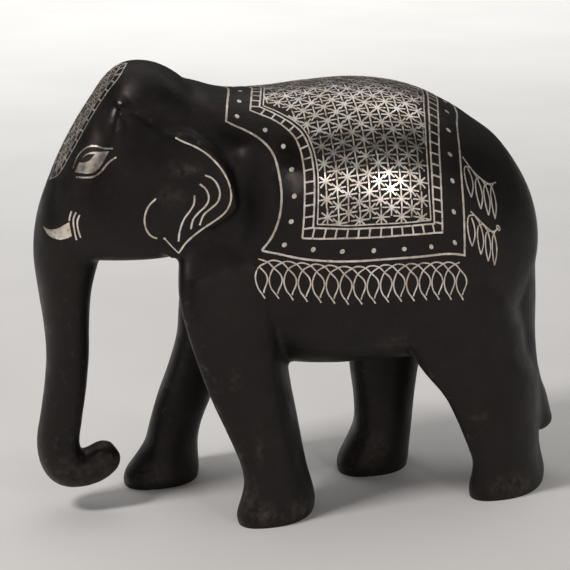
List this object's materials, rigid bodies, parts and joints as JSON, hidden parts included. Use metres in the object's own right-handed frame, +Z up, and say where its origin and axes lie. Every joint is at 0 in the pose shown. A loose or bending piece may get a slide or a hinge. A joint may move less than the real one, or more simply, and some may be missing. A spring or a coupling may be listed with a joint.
{
  "type": "elephant figurine",
  "caption": "Walking elephant figurine cast in one piece in black zinc alloy, trunk hanging to a curled tip, body dressed with flush silver inlay.",
  "frame": {"origin": "on the surface that it stands on, below the middle of its bounding box", "axes": "+Z up; the elephant faces -X, along its length; its left side is towards -Y"},
  "size_m": [0.1496, 0.062, 0.1233],
  "materials": {
    "blackened_alloy": "zinc alloy blackened with earth and oiled, semi-matte",
    "silver_inlay": "flush silver wire and sheet, hand polished, lightly toned"
  },
  "bodies": {
    "root": {"elephant_casting": "blackened_alloy"}
  },
  "joints": []
}
